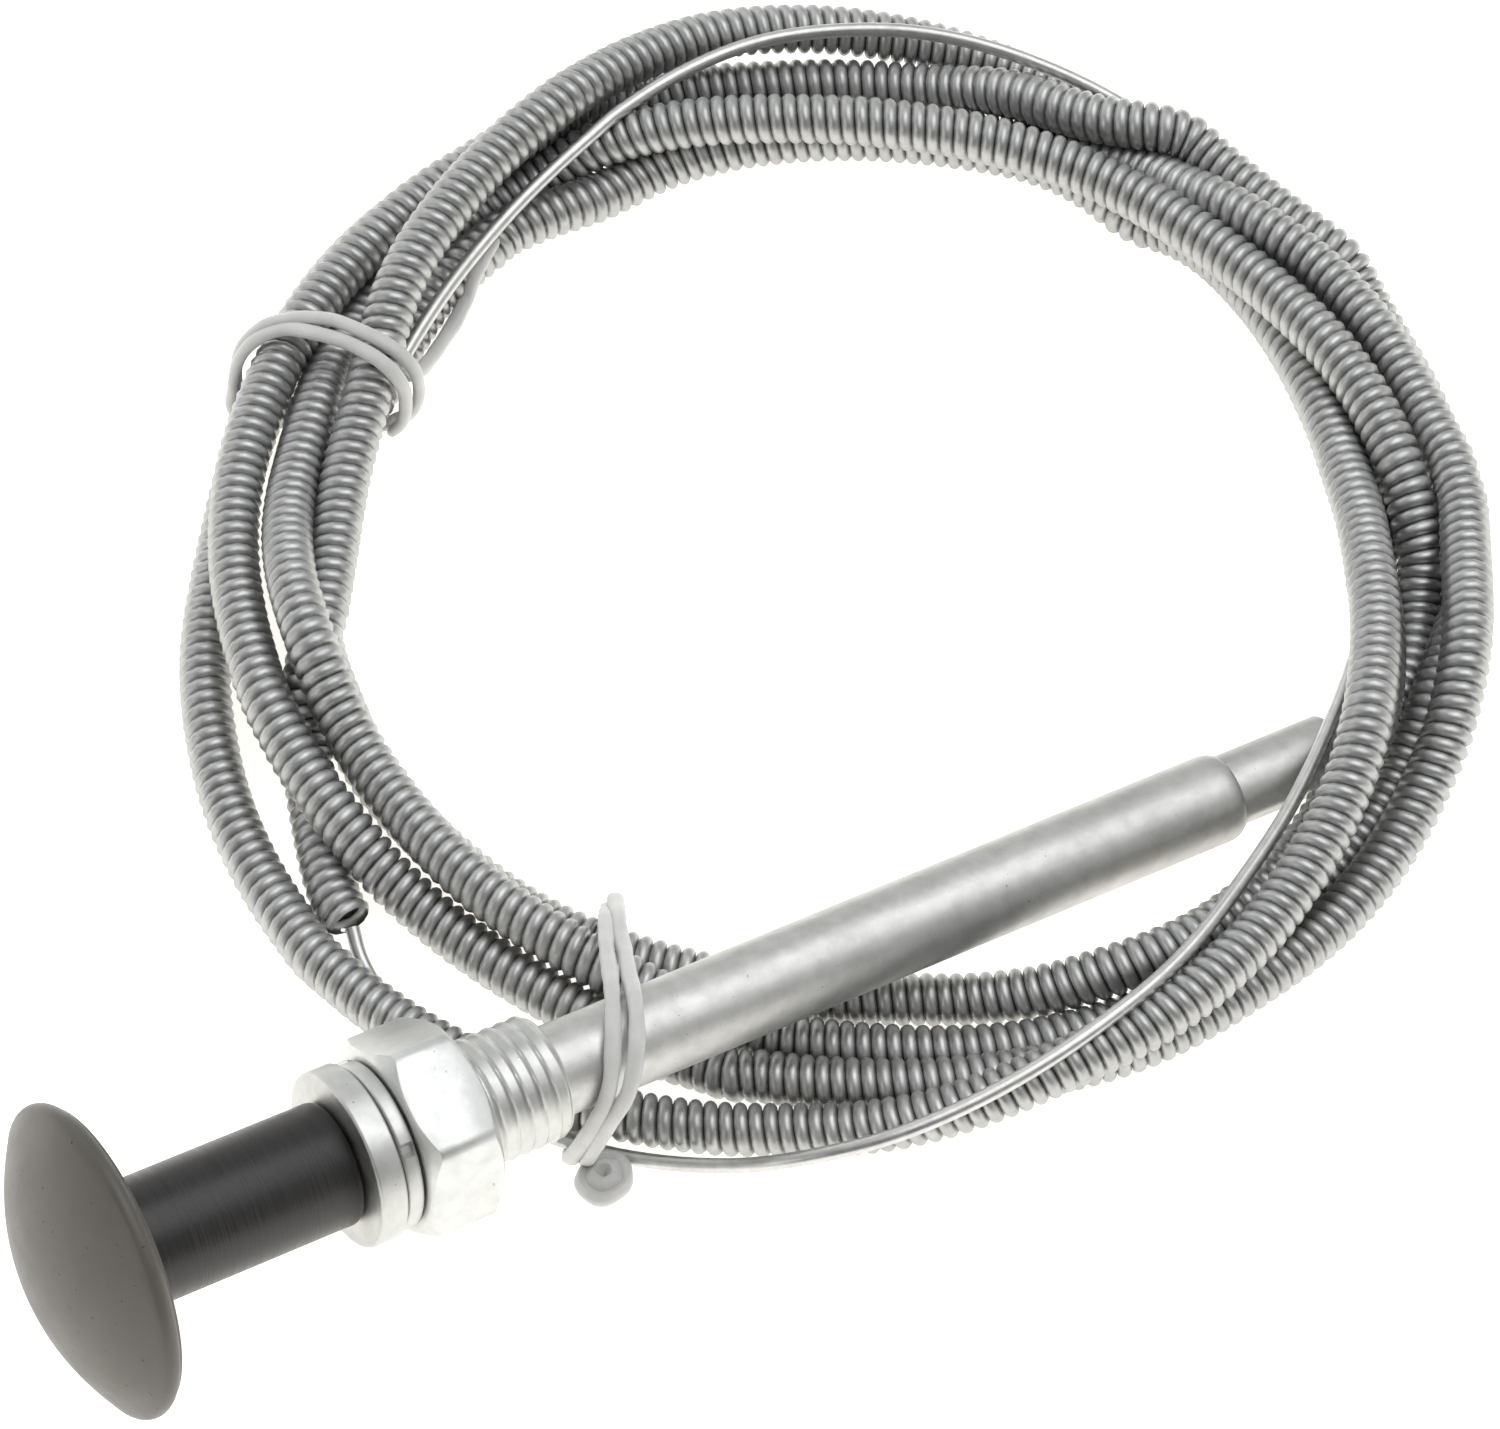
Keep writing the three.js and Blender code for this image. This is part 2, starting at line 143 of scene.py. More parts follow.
# ---------------------------------------------------------------- materials
class Finish:
    """A Principled material with small helpers for its procedural detail."""

    def __init__(self, name, colour, metallic, roughness, coordinates="Object"):
        self.material = bpy.data.materials.new(name)
        self.material.use_nodes = True
        self.tree = self.material.node_tree
        self.shader = self.tree.nodes["Principled BSDF"]
        self.put("Base Color", (*colour, 1))
        self.put("Metallic", metallic)
        self.put("Roughness", roughness)
        self.place = self.node("ShaderNodeTexCoord").outputs[coordinates]

    def node(self, kind, **settings):
        made = self.tree.nodes.new(kind)
        for key, value in settings.items():
            setattr(made, key, value)
        return made

    def put(self, socket, value):
        self.shader.inputs[socket].default_value = value

    def wire(self, output, node, socket):
        self.tree.links.new(output, node.inputs[socket])

    def stretched(self, scale):
        """The coordinates, scaled differently along each axis."""
        mapping = self.node("ShaderNodeMapping")
        mapping.inputs["Scale"].default_value = scale
        self.wire(self.place, mapping, "Vector")
        return mapping.outputs["Vector"]

    def noise(self, scale, detail=4, stretch=(1, 1, 1), rough=0.55):
        made = self.node("ShaderNodeTexNoise")
        made.inputs["Scale"].default_value = scale
        made.inputs["Detail"].default_value = detail
        made.inputs["Roughness"].default_value = rough
        self.wire(self.stretched(stretch), made, "Vector")
        return made.outputs["Fac"]

    def attribute(self, name):
        return self.node("ShaderNodeAttribute", attribute_name=name).outputs["Fac"]

    def ramp(self, value, stops):
        """Maps a value through (position, grey or colour) stops."""
        made = self.node("ShaderNodeValToRGB")
        elements = made.color_ramp.elements
        while len(elements) < len(stops):
            elements.new(0.5)
        for element, (position, colour) in zip(elements, stops):
            element.position = position
            grey = not hasattr(colour, "__len__")
            element.color = (colour, colour, colour, 1) if grey else (*colour, 1)
        self.wire(value, made, "Fac")
        return made.outputs["Color"]

    def mix(self, factor, first, second, kind="MIX"):
        """Mixes two colours; each is an output or a plain colour, and so may factor be a number."""
        made = self.node("ShaderNodeMix", data_type="RGBA", blend_type=kind)
        for socket, value in ((0, factor), (6, first), (7, second)):
            if isinstance(value, bpy.types.NodeSocket):
                self.tree.links.new(value, made.inputs[socket])
            elif socket == 0:
                made.inputs[socket].default_value = value
            else:
                made.inputs[socket].default_value = (*value, 1)
        return made.outputs[2]

    def bump(self, height, depth, strength=1.0):
        """Adds relief of that depth in metres on top of any relief already there."""
        made = self.node("ShaderNodeBump")
        made.inputs["Strength"].default_value = strength
        made.inputs["Distance"].default_value = depth
        self.wire(height, made, "Height")
        if self.shader.inputs["Normal"].links:
            self.wire(self.shader.inputs["Normal"].links[0].from_socket, made, "Normal")
        self.wire(made.outputs["Normal"], self.shader, "Normal")

    def colour(self, output):
        self.wire(output, self.shader, "Base Color")

    def roughness(self, output):
        self.wire(output, self.shader, "Roughness")


def cap_finish():
    """Satin moulded black, paler where handled, with a fine grain and a few specks."""
    f = Finish("black_cap", (0.07, 0.066, 0.061), 0, 0.42)
    cloud = f.noise(60, 3)
    base = f.ramp(cloud, [(0.3, (0.088, 0.080, 0.069)), (0.7, (0.112, 0.102, 0.088))])
    specks = f.ramp(f.noise(900, 2), [(0.70, 0.0), (0.76, 1.0)])
    f.colour(f.mix(specks, base, (0.02, 0.018, 0.016)))
    f.roughness(f.ramp(f.noise(220, 4), [(0.3, 0.37), (0.7, 0.46)]))
    f.bump(f.noise(1600, 3), 0.00004, 0.5)
    return f.material


def stem_finish():
    """Turned black with fine rings round the axis."""
    f = Finish("black_stem", (0.014, 0.013, 0.012), 0, 0.34)
    rings = f.noise(1, 3, (5200, 60, 60))
    f.colour(f.ramp(rings, [(0.35, (0.010, 0.009, 0.009)), (0.75, (0.024, 0.022, 0.021))]))
    f.roughness(f.ramp(rings, [(0.3, 0.30), (0.7, 0.44)]))
    f.bump(rings, 0.00006, 0.6)
    return f.material


def zinc_finish(name, colour, rough, ring_scale):
    """Zinc plating: a mottled satin metal with faint turning marks and a few dark pits."""
    f = Finish(name, colour, 1, rough)
    mottle = f.noise(420, 5, rough=0.6)
    dim = tuple(0.90 * c for c in colour)
    base = f.ramp(mottle, [(0.32, dim), (0.62, colour)])
    pits = f.ramp(f.noise(1500, 2), [(0.72, 0.0), (0.78, 1.0)])
    f.colour(f.mix(pits, base, (0.25, 0.24, 0.22)))
    f.roughness(f.ramp(f.noise(300, 4), [(0.3, rough - 0.05), (0.7, rough + 0.08)]))
    f.bump(f.noise(900, 4), 0.00005, 0.35)
    if ring_scale:
        f.bump(f.noise(1, 2, (ring_scale, 40, 40)), 0.00004, 0.4)
    return f.material


def tube_finish():
    """Drawn tube: zinc, with faint lines along it, fine pits and a soft satin."""
    f = Finish("zinc_tube", (0.62, 0.62, 0.60), 1, 0.46)
    mottle = f.noise(380, 5, rough=0.62)
    base = f.ramp(mottle, [(0.32, (0.54, 0.54, 0.525)), (0.62, (0.63, 0.632, 0.62))])
    pits = f.ramp(f.noise(1900, 3), [(0.70, 0.0), (0.76, 1.0)])
    f.colour(f.mix(pits, base, (0.22, 0.21, 0.19)))
    f.roughness(f.ramp(f.noise(260, 4), [(0.3, 0.42), (0.7, 0.52)]))
    f.bump(f.noise(1, 3, (30, 1800, 1800)), 0.00004, 0.25)
    f.bump(f.noise(1100, 4), 0.00005, 0.35)
    return f.material


def conduit_finish():
    """Drawn steel wire, satin, with painted shade dark deep in the grooves between the turns."""
    f = Finish("conduit", (0.6, 0.6, 0.59), 1, 0.44)
    depth = f.attribute("depth")
    steel = f.ramp(f.noise(500, 4), [(0.3, (0.44, 0.445, 0.44)), (0.7, (0.53, 0.535, 0.53))])
    # painted shade: the colour darkens towards the bottom of each groove between the turns
    shade = f.ramp(depth, [(0.36, 0.0), (0.90, 1.0)])
    f.colour(f.mix(shade, steel, (0.05, 0.046, 0.042)))
    f.roughness(f.ramp(f.noise(700, 3), [(0.3, 0.40), (0.7, 0.50)]))
    f.bump(f.noise(2600, 3), 0.00002, 0.3)
    return f.material


def wire_finish():
    """The bare inner wire: bright drawn steel."""
    f = Finish("bare_wire", (0.62, 0.62, 0.61), 1, 0.36)
    f.colour(f.ramp(f.noise(600, 3), [(0.3, (0.55, 0.55, 0.54)), (0.7, (0.66, 0.66, 0.65))]))
    f.roughness(f.ramp(f.noise(500, 3), [(0.3, 0.32), (0.7, 0.42)]))
    f.bump(f.noise(2400, 3), 0.00002, 0.3)
    return f.material


def tie_finish():
    """Soft white plastic, a little translucent."""
    f = Finish("tie", (0.80, 0.80, 0.785), 0, 0.42)
    f.put("Subsurface Weight", 0.35)
    f.put("Subsurface Radius", (0.0012, 0.0012, 0.0012))
    f.put("Subsurface Scale", 1.0)
    f.colour(f.ramp(f.noise(260, 3), [(0.3, (0.60, 0.60, 0.59)), (0.7, (0.68, 0.68, 0.668))]))
    f.bump(f.noise(700, 3), 0.00008, 0.35)
    return f.material


def plain_finish(name, colour, metallic, rough):
    """For the pieces inside: a turned or moulded surface with a fine grain."""
    f = Finish(name, colour, metallic, rough)
    dim = tuple(0.85 * c for c in colour)
    f.colour(f.ramp(f.noise(500, 3), [(0.3, dim), (0.7, colour)]))
    f.bump(f.noise(1500, 3), 0.00004, 0.3)
    return f.material


CAP = cap_finish()
STEM = stem_finish()
ZINC = zinc_finish("zinc", (0.62, 0.625, 0.61), 0.42, 2600)
NUT_ZINC = zinc_finish("zinc_nut", (0.69, 0.70, 0.69), 0.42, 0)
TUBE = tube_finish()
CONDUIT = conduit_finish()
WIRE = wire_finish()
TIE = tie_finish()
STEEL = plain_finish("steel", (0.55, 0.56, 0.57), 1, 0.28)
BRASS = plain_finish("brass", (0.78, 0.60, 0.30), 1, 0.28)
NYLON = plain_finish("nylon", (0.82, 0.80, 0.74), 0, 0.45)
RUBBER = plain_finish("rubber", (0.03, 0.03, 0.03), 0, 0.7)


# ---------------------------------------------------------------- mesh helpers
def make_object(name, points, faces, material, matrix=None, sharp=35):
    """A smooth-shaded mesh object from points in millimetres."""
    mesh = bpy.data.meshes.new(name)
    mesh.from_pydata((np.asarray(points) * MM).tolist(), [], faces)
    mesh.validate()
    mesh.update()
    mesh.shade_smooth()
    mesh.set_sharp_from_angle(angle=math.radians(sharp))
    mesh.materials.append(material)
    made = bpy.data.objects.new(name, mesh)
    bpy.context.scene.collection.objects.link(made)
    if matrix is not None:
        made.matrix_world = matrix
    return made


def finished(obj, body, slot, *nodes):
    """Hangs a piece on its body and hides the CAD nodes that it stands for. Its slot is not used."""
    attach(obj, body)
    if nodes:
        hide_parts(*nodes)
    return obj


def grid_faces(rows, columns, start=0, closed_rows=False):
    """Quads of a grid whose columns run round and close. Its rows close too if asked."""
    faces = []
    for i in range(rows if closed_rows else rows - 1):
        a, b = start + i * columns, start + (i + 1) % rows * columns
        for j in range(columns):
            k = (j + 1) % columns
            faces.append((a + j, a + k, b + k, b + j))
    return faces


def turned(profile, sides, shape=None):
    """(points, faces) of a body turned about X, from a closed or axis-to-axis profile of
    (station, radius). shape(station, radius, angle) may change the radius."""
    closed = profile[0] == profile[-1]
    rows = profile[:-1] if closed else profile
    angles = np.arange(sides) * 2 * math.pi / sides
    points = []
    for station, radius in rows:
        for angle in angles:
            r = shape(station, radius, angle) if shape else radius
            points.append((station, r * math.cos(angle), r * math.sin(angle)))
    return np.array(points), grid_faces(len(rows), sides, closed_rows=closed)


def arc(centre, radius, start, end, steps):
    """Points of a round stretch of a profile, between two angles in degrees."""
    angles = np.radians(np.linspace(start, end, steps))
    return [(centre[0] + radius * math.cos(a), centre[1] + radius * math.sin(a)) for a in angles]


def joined(*shapes):
    """Several (points, faces) as one."""
    points, faces = [], []
    for more_points, more_faces in shapes:
        start = sum(len(p) for p in points)
        points.append(np.asarray(more_points))
        faces += [tuple(start + v for v in face) for face in more_faces]
    return np.vstack(points), faces


def along(path, step):
    """Points on a smooth curve through path, a step apart."""
    path = np.asarray(path, float)
    tangent = np.zeros_like(path)
    chord = np.linalg.norm(np.diff(path, axis=0), axis=1)
    slope = np.diff(path, axis=0) / chord[:, None]
    tangent[1:-1] = (slope[1:] * chord[:-1, None] + slope[:-1] * chord[1:, None]) / (
        chord[1:] + chord[:-1])[:, None]
    tangent[0], tangent[-1] = slope[0], slope[-1]
    fine = []
    for i, length in enumerate(chord):
        t = np.linspace(0, 1, max(2, int(length / step * 4)), endpoint=False)[:, None]
        fine.append((2 * t**3 - 3 * t**2 + 1) * path[i] + (t**3 - 2 * t**2 + t) * length * tangent[i]
                    + (3 * t**2 - 2 * t**3) * path[i + 1] + (t**3 - t**2) * length * tangent[i + 1])
    fine = np.vstack(fine + [path[-1:]])
    run = np.concatenate([[0], np.cumsum(np.linalg.norm(np.diff(fine, axis=0), axis=1))])
    wanted = np.linspace(0, run[-1], max(2, round(run[-1] / step) + 1))
    return np.stack([np.interp(wanted, run, fine[:, k]) for k in range(3)], -1)


def carried_frames(path):
    """Unit vectors across a path, carried along it without twisting."""
    tangent = np.gradient(path, axis=0)
    tangent /= np.linalg.norm(tangent, axis=1)[:, None]
    across = np.zeros_like(path)
    first = np.cross(tangent[0], (0, 0, 1.0))
    across[0] = first / np.linalg.norm(first)
    for i in range(1, len(path)):
        v = across[i - 1] - tangent[i] * (across[i - 1] @ tangent[i])
        across[i] = v / np.linalg.norm(v)
    return across, np.cross(tangent, across)


def swept(path, radius, sides, ends=True):
    """(points, faces) of a round bar along a path. radius is a number or one for each point."""
    across, upward = carried_frames(path)
    radius = np.broadcast_to(radius, len(path))
    angles = np.arange(sides) * 2 * math.pi / sides
    ring = across[:, None] * np.cos(angles)[:, None] + upward[:, None] * np.sin(angles)[:, None]
    points = (path[:, None] + ring * radius[:, None, None]).reshape(-1, 3)
    faces = grid_faces(len(path), sides)
    if ends:
        last = (len(path) - 1) * sides
        faces.append(tuple(range(sides - 1, -1, -1)))
        faces.append(tuple(last + k for k in range(sides)))
    return points, faces


# ---------------------------------------------------------------- the lay of the cable
# Each turn of the coil: bearing in degrees round the coil's middle, counted on from turn to
# turn, distance from it, and height of the strand's middle above the table, in millimetres.
LAY = [
    # first turn, from the tube's neck, over the strands at the back and down the left side
    (-28.5, 83.4, 4.2), (-23.5, 83, 6.2), (-18, 82.2, 8.5), (-9, 80.2, 11.5), (1.5, 78, 12.5),
    (12, 77, 12.5), (27.5, 76.8, 12.5), (43, 77, 12.5), (50.5, 77.4, 12), (61.5, 78.4, 11.5),
    (72.5, 81.6, 9.5), (78, 83, 8.5), (87.5, 83.8, 6.5), (102.5, 82.8, 5.5), (118.5, 80.6, 6.5),
    (131, 78.4, 10.5), (143, 77.6, 11.5), (154, 77, 12.5), (165, 76, 12.5), (174.5, 75.8, 11.5),
    (184, 75.8, 10.5), (193, 75.6, 8.5), (202, 76, 7.5), (207.5, 75.8, 6.5), (212, 75.8, 5.5),
    (219, 77, 4.5), (225.5, 78.4, 3.7), (234, 80.4, 3.7), (240, 81.6, 3.7), (244.5, 82.6, 3.7),
    (249, 84.2, 3.7), (253.5, 85.4, 3.7), (258.5, 86.2, 3.7), (266.5, 86.8, 3.7), (278, 86.8, 3.7),
    # second turn, mostly on the table
    (291, 86.4, 3.7), (312, 86.4, 3.7), (328.5, 87.8, 3.7), (349.5, 90.8, 3.7), (360.5, 91, 5.5),
    (369, 90.4, 8), (377.5, 88.8, 10.3), (386.5, 87.6, 11.3), (394.5, 88, 10.3), (403, 89.6, 7.5),
    (412, 90.8, 5), (421.5, 92, 3.7), (431, 91.6, 3.7), (439, 91.6, 4.5), (447, 91.2, 5.5),
    (463.5, 88.8, 8.5), (474.5, 87.2, 10.5), (492, 85.8, 12.5), (503, 85.6, 12.5),
    (513.5, 85.2, 12.5), (524.5, 84.6, 12.5), (534, 84, 10.5), (543, 83.6, 8.5), (558.5, 82.4, 4.5),
    (570.5, 83, 3.7), (576, 84, 3.7), (586, 87, 5), (593, 88.2, 6), (599.5, 89.2, 6.5),
    (604, 89.6, 6.5), (608.5, 89.6, 6), (614, 89.6, 5), (618.5, 89.4, 4), (624.5, 90, 3.7),
    (630.5, 90.2, 3.7), (635, 90.2, 3.7), (640, 90.4, 3.7),
    # third turn, the widest, out under the bushing and round the outside
    (646, 91, 3.7), (665.5, 90.8, 6.5), (680, 90, 9.5), (696, 88.6, 10.5), (711.5, 87.2, 11.5),
    (722, 86.6, 11.5), (733, 85.8, 10.5), (744, 85.4, 8.5), (754.5, 85.2, 5.5), (765, 84.2, 3.7),
    (776.5, 82.8, 3.7), (787.5, 84.4, 3.7), (797, 87.4, 3.7), (805, 90.2, 3.7), (811.5, 92, 3.7),
    (823.5, 91.8, 3.7), (833, 91, 3.7), (853, 87.8, 3.7), (862.5, 87.4, 3.7), (869, 88.2, 3.7),
    (880, 91, 3.7), (887.5, 92.6, 3.7), (895.5, 94.6, 3.7), (906, 96.6, 3.7), (921, 98, 3.7),
    (932.5, 97.6, 3.7), (943.5, 96.6, 3.7), (947.5, 96.2, 3.7), (951.5, 95.4, 3.7),
    (955.5, 94.6, 3.7), (959.5, 94.4, 4.5), (964, 94.8, 6), (968, 94.8, 7.5), (972, 94.4, 9),
    (976, 93.8, 10.3), (980, 93.2, 11.2), (984.5, 93, 12),
    # fourth turn, the inner one
    (989, 92.4, 12.8), (993.5, 91.2, 13.4), (998, 90, 13.8), (1002.5, 88.6, 15.5),
    (1007.5, 87.2, 17.5), (1014.5, 84.8, 18.8), (1024.5, 81, 18.5), (1035.5, 77.6, 16.5),
    (1049.5, 74.8, 13), (1061, 74.8, 9.5), (1073.5, 76.6, 6.5), (1086.5, 80.2, 3.7),
    (1097.5, 81.8, 3.7), (1108, 82.8, 3.7), (1117.5, 83, 3.7), (1127, 82.4, 3.7), (1136.5, 82, 3.7),
    (1147, 81.6, 3.7), (1157, 80.8, 3.7), (1168, 79.4, 3.7), (1178.5, 79.8, 3.7), (1189, 78.2, 3.7),
    (1202.5, 74.8, 3.7), (1218.5, 73.6, 3.7), (1231.5, 73.8, 3.7), (1242, 74.8, 3.7),
    (1252.5, 74.4, 3.7), (1263, 73.8, 3.7), (1273, 73.4, 3.7), (1281.5, 73.4, 3.7),
    (1290.5, 73, 3.7), (1296, 73, 3.7), (1303.5, 72.8, 3.7), (1314, 73.2, 3.7), (1325.5, 73.8, 3.7),
    (1330.5, 75.2, 3.7), (1335.5, 76.8, 4.5), (1340, 79, 6), (1345, 81.2, 8),
    # last stretch, out from under the others at the rim and back under the left side to its end
    (1350.5, 83.2, 10), (1357.5, 84.2, 11.3), (1367, 84, 11.8), (1377, 82, 11), (1389.5, 79.6, 9),
    (1402.5, 78.2, 6.5), (1416.5, 79, 4.5), (1427.5, 80.8, 3.7), (1440, 83.6, 3.7),
    (1450.5, 86, 3.7), (1460.5, 89.6, 3.7), (1468, 92.8, 3.7), (1474, 95, 3.7), (1479.5, 96.6, 4),
    (1483.5, 97.4, 5), (1488, 97.6, 6.5), (1492.5, 97, 8.5), (1497, 96.8, 10), (1502.5, 96.6, 11),
    (1508.5, 96, 12), (1515.5, 93.4, 13.5), (1524.5, 88.6, 15.5), (1535.5, 82.6, 17.5),
    (1547.5, 77.6, 18.5), (1556, 75.2, 17.5), (1563, 72.6, 15.5), (1569.5, 71.2, 13.5),
    (1576, 70.8, 12), (1582.5, 71.2, 10.5), (1588.5, 71.8, 8.5), (1594, 73, 6), (1599.5, 75, 4),
    (1605.5, 77.6, 3.7), (1611.5, 80.6, 3.7), (1617.5, 83.4, 3.7), (1623, 86.2, 3.7),
    (1628, 89.6, 3.7), (1631.5, 92, 3.7),
]
# The bare wire, out of the conduit's end, under the control and round on top of the coil.
WIRE_LAY = [
    (1631.5, 92, 3.7), (1635, 93.8, 3.2), (1638.5, 95.8, 2.5), (1648, 100, 1.5),
    (1657.5, 102.2, 1.5), (1663.5, 102, 2.2), (1669, 102.6, 5), (1672, 104.4, 9), (1674, 105.6, 12),
    (1680, 104.6, 15), (1687, 101, 16), (1695, 96.6, 17), (1700.5, 93.8, 17.5), (1705.5, 91.4, 18),
    (1713, 87.4, 18), (1719.5, 83.6, 17), (1728.5, 80.2, 16), (1735.5, 78, 15), (1745.5, 76.2, 13),
    (1759, 76.2, 10.5), (1774.5, 79.2, 8), (1789.5, 83.2, 8), (1804.5, 87.4, 8), (1817, 90.4, 8),
    (1827, 92.4, 9), (1834, 93.2, 11), (1839, 92.8, 13), (1844, 93.2, 14), (1848.5, 93.4, 14.5),
    (1852, 93.2, 15), (1857.5, 92.6, 15), (1864.5, 91.4, 15), (1872, 88, 15), (1881, 83, 14.5),
    (1886.5, 80, 14), (1893, 77.2, 13.5), (1899, 75, 13), (1904, 73.2, 13), (1911.5, 71.4, 13),
    (1916.5, 70.6, 12.5), (1921, 70.2, 12),
]
STRAND_STEP = 4.0
SETTLE_ROUNDS, LAST_ROUNDS = 150, 30
EASE, HOLD, SINK = 0.22, 0.2, 0.02


def on_coil(bearing, distance, height):
    angle = math.radians(bearing)
    return COIL_CENTRE + (distance * math.cos(angle), distance * math.sin(angle), height)


def lay_path(lay):
    """The strand's line in space: the lay is smoothed in bearing and then walked in even steps."""
    lay = np.array(lay, float)
    bearings = np.arange(lay[0, 0], lay[-1, 0] + 0.01, 1.0)
    radii = smooth_values(lay[:, 0], lay[:, 1], bearings)
    heights = smooth_values(lay[:, 0], lay[:, 2], bearings)
    points = np.array([on_coil(*values) for values in zip(bearings, radii, heights)])
    return along(points, STRAND_STEP)


def smooth_values(known, values, wanted):
    """Cubic interpolation that never overshoots the known values."""
    gap = np.diff(known)
    slope = np.diff(values) / gap
    tangent = np.zeros(len(known))
    rising = slope[:-1] * slope[1:] > 0
    before, after = slope[:-1][rising], slope[1:][rising]
    tangent[1:-1][rising] = 2 * before * after / (before + after)
    tangent[0], tangent[-1] = slope[0], slope[-1]
    i = np.clip(np.searchsorted(known, wanted, side="right") - 1, 0, len(gap) - 1)
    t = (wanted - known[i]) / gap[i]
    return ((2 * t**3 - 3 * t**2 + 1) * values[i] + (t**3 - 2 * t**2 + t) * gap[i] * tangent[i]
            + (3 * t**2 - 2 * t**3) * values[i + 1] + (t**3 - t**2) * gap[i] * tangent[i + 1])


def station(s):
    """The point of the control's axis at a station, in millimetres."""
    return np.array(KNOB) / MM + np.array(AXIS) * s


def settle(conduit, wire):
    """Lets the strands come to rest: each keeps its own thickness from the others, the control
    and the table, stays smooth, and moves only a little from its lay."""
    start = np.vstack([conduit, wire])
    x = start.copy()
    count = len(conduit)
    index = np.arange(len(x))
    on_wire = index >= count
    radius = np.where(on_wire, WIRE_RADIUS, CONDUIT_RADIUS)
    sight = start - SIGHT
    sight /= np.linalg.norm(sight, axis=1)[:, None]
    solids = [
        (station(36), station(NECK_START), TUBE_RADIUS),
        (station(NECK_START), station(TUBE_END), NECK_RADIUS),
        (station(NUT_FRONT), station(NUT_REAR), 14.0),
        (station(NUT_REAR), station(BARREL_END), THREAD_RADIUS),
    ]
    axis = np.array(AXIS)
    for turn in range(SETTLE_ROUNDS):
        easing = 3 if turn < SETTLE_ROUNDS - LAST_ROUNDS else 6
        for a, b in ((0, count), (count, len(x))) * easing:
            part = x[a:b]
            bend = np.zeros_like(part)
            bend[1:-1] = (part[:-2] + part[2:]) / 2 - part[1:-1]
            ease = np.zeros_like(part)
            ease[2:-2] = bend[2:-2] - (bend[1:-3] + bend[3:-1]) / 2
            part += EASE * ease
        off = x - start
        off -= (off * sight).sum(1)[:, None] * sight
        x -= HOLD * off
        x[:, 2] += 0.01 * (start[:, 2] - x[:, 2]) - SINK
        if turn % 6 == 0:
            pairs = near_pairs(x, radius, on_wire, count)
        for _ in range(2):
            separate(x, start, radius, pairs)
        for a, b, thick in solids:
            push_out(x, index, radius, a, b, thick)
        x[:, 2] = np.maximum(x[:, 2], radius)
        for k in range(4):
            x[k] = station(TUBE_END) + axis * STRAND_STEP * (k - 1)
        x[count] = x[count - 1]
    return x[:count], x[count:]


def near_pairs(x, radius, on_wire, count):
    """Pairs of strand points that may touch, apart from neighbours along one strand."""
    i, j = np.triu_indices(len(x), 7)
    close = ((x[i] - x[j]) ** 2).sum(1) < (radius[i] + radius[j] + 5) ** 2
    joint_end = (i >= count - 6) & (i < count) & (j < count + 8) & on_wire[j]
    i, j = i[close & ~joint_end], j[close & ~joint_end]
    return i, j


def separate(x, start, radius, pairs):
    """Pushes touching strands apart, and keeps the one that was laid on top on top."""
    i, j = pairs
    apart = x[i] - x[j]
    distance = np.linalg.norm(apart, axis=1)
    need = radius[i] + radius[j]
    hit = distance < need
    i, j, apart, distance, need = i[hit], j[hit], apart[hit], distance[hit], need[hit]
    order = start[i, 2] - start[j, 2]
    swapped = (np.sign(apart[:, 2]) != np.sign(order)) & (np.abs(order) > 1.5)
    apart[swapped, 2] *= -1
    unit = apart / np.maximum(np.linalg.norm(apart, axis=1), 1e-6)[:, None]
    push = (need - distance)[:, None] / 2 * unit
    push[swapped] += unit[swapped] / 2
    moved, hits = np.zeros_like(x), np.zeros(len(x))
    np.add.at(moved, i, push)
    np.add.at(moved, j, -push)
    np.add.at(hits, i, 1)
    np.add.at(hits, j, 1)
    x += moved / np.maximum(hits, 1)[:, None]


def push_out(x, index, radius, a, b, thick):
    """Keeps the strands outside a round solid from a to b."""
    run = b - a
    t = np.clip((x - a) @ run / (run @ run), 0, 1)
    away = x - (a + t[:, None] * run)
    distance = np.linalg.norm(away, axis=1)
    need = thick + radius + 0.15
    hit = (distance < need) & (index > 3) & ~((t >= 1) & (index < 8))
    x[hit] += away[hit] / distance[hit][:, None] * (need - distance)[hit][:, None]


entry = [station(TUBE_END + s) for s in (-4, 0, 4, 8)]
strand = along(np.vstack([entry, lay_path(LAY)]), STRAND_STEP)
free_wire = lay_path(WIRE_LAY)
strand, free_wire = settle(strand, free_wire)


